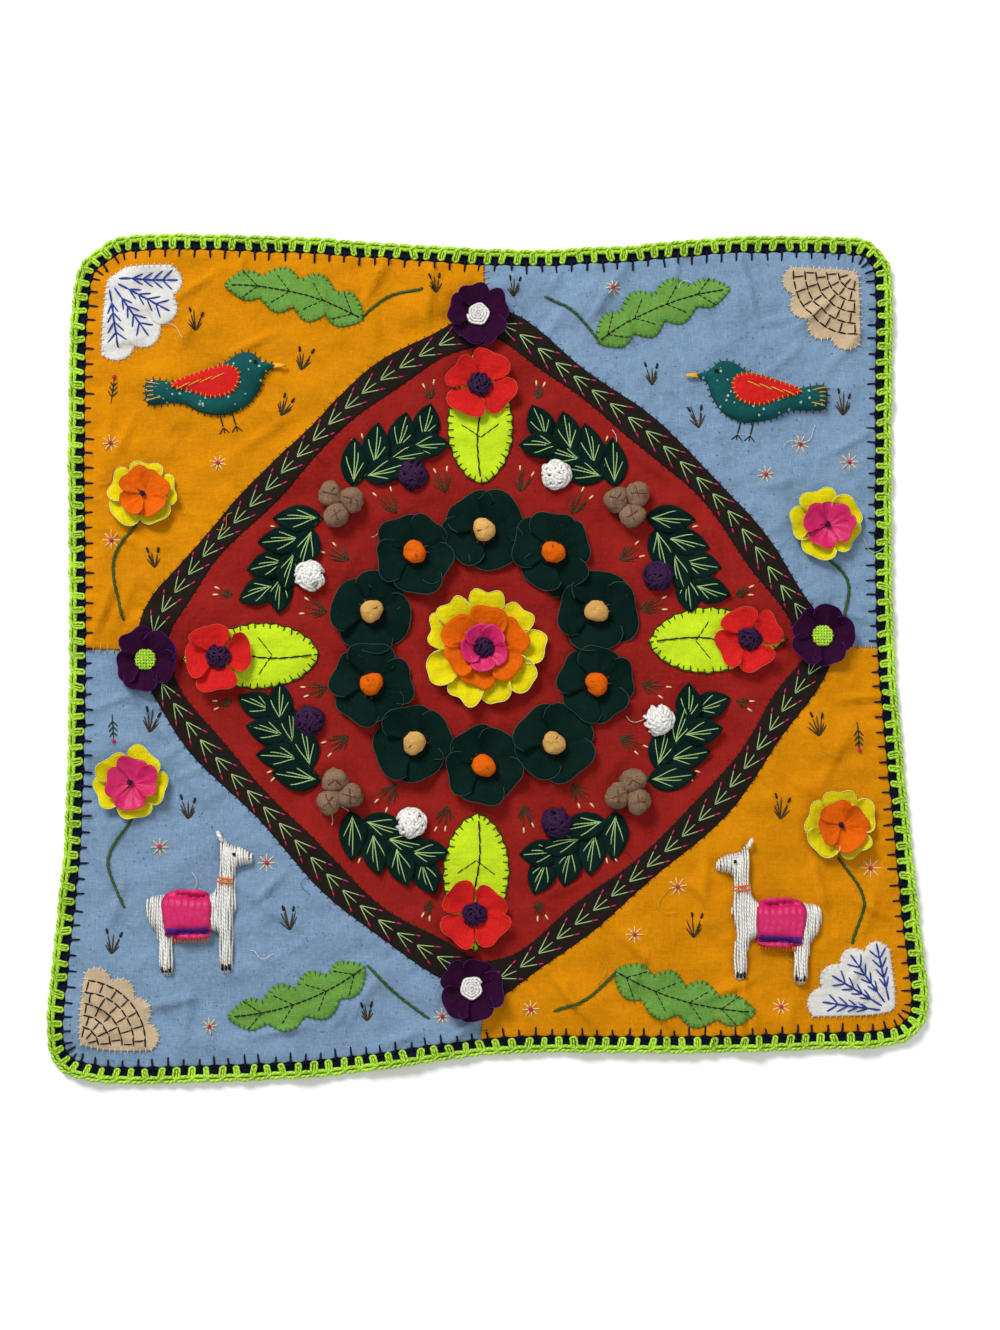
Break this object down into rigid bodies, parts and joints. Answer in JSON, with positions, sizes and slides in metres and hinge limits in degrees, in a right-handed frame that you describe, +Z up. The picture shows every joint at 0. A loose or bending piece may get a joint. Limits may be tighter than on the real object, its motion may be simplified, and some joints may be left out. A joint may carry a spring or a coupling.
{
  "type": "arpillera textile",
  "caption": "Square hand-sewn picture cloth with a pieced diamond, padded animals, layered flowers, leaves and stuffed berries, edged with crochet.",
  "frame": {"origin": "middle of the cloth's box, on the surface that it lies on", "axes": "+X to the right of the design, +Y to its top edge, +Z up out of its face"},
  "size_m": [0.4442, 0.434, 0.0139],
  "materials": {
    "navy": "dark navy plain-weave cotton backing",
    "lime": "glossy lime-green cotton yarn, crocheted",
    "red": "brick-red cotton",
    "brown": "near-black brown cotton",
    "ochre": "mustard cotton",
    "blue": "blue chambray with navy flecks",
    "dark_green": "dark green felted cloth",
    "neon": "bright yellow-green cotton",
    "leaf_green": "mid-green mottled cotton",
    "scarlet": "scarlet cotton",
    "orange": "orange cotton",
    "yellow": "yellow cotton",
    "magenta": "magenta satin",
    "purple": "dark purple yarn and cloth",
    "cream": "cream cotton",
    "white": "off-white cotton",
    "tan": "brown cotton",
    "teal": "teal printed cotton"
  },
  "bodies": {
    "root": {"backing_cloth": "navy", "berry_00": "cream", "berry_01": "orange", "berry_02": "cream", "berry_03": "orange", "berry_04": "cream", "berry_05": "orange", "berry_06": "cream", "berry_07": "orange", "berry_08": "cream", "berry_09": "orange", "bird_e": "teal", "bird_w": "teal", "centre_knot": "purple", "centre_petals_inner": "scarlet", "centre_petals_outer": "yellow", "corner_cloth_ne": "blue", "corner_cloth_nw": "ochre", "corner_cloth_se": "ochre", "corner_cloth_sw": "blue", "corner_flower_inner_ne": "magenta", "corner_flower_inner_nw": "orange", "corner_flower_inner_se": "orange", "corner_flower_inner_sw": "magenta", "corner_flower_outer_ne": "yellow", "corner_flower_outer_nw": "yellow", "corner_flower_outer_se": "yellow", "corner_flower_outer_sw": "yellow", "crochet_edging": "lime", "diamond_cloth_red": "red", "frame_cloth_brown": "brown", "frond_ne": "leaf_green", "frond_nw": "leaf_green", "frond_se": "leaf_green", "frond_sw": "leaf_green", "llama_e": "white", "llama_w": "white", "long_leaf_e": "neon", "long_leaf_n": "neon", "long_leaf_s": "neon", "long_leaf_w": "neon", "nuts_ne": "tan", "nuts_nw": "tan", "nuts_se": "tan", "nuts_sw": "tan", "poppy_knot_e": "purple", "poppy_knot_n": "purple", "poppy_knot_s": "purple", "poppy_knot_w": "purple", "poppy_petals_e": "scarlet", "poppy_petals_n": "scarlet", "poppy_petals_s": "scarlet", "poppy_petals_w": "scarlet", "saddle_cloth_e": "magenta", "saddle_cloth_w": "magenta", "tip_flower_e": "purple", "tip_flower_n": "purple", "tip_flower_s": "purple", "tip_flower_w": "purple", "wreath_cloth_green": "dark_green"}
  },
  "joints": []
}
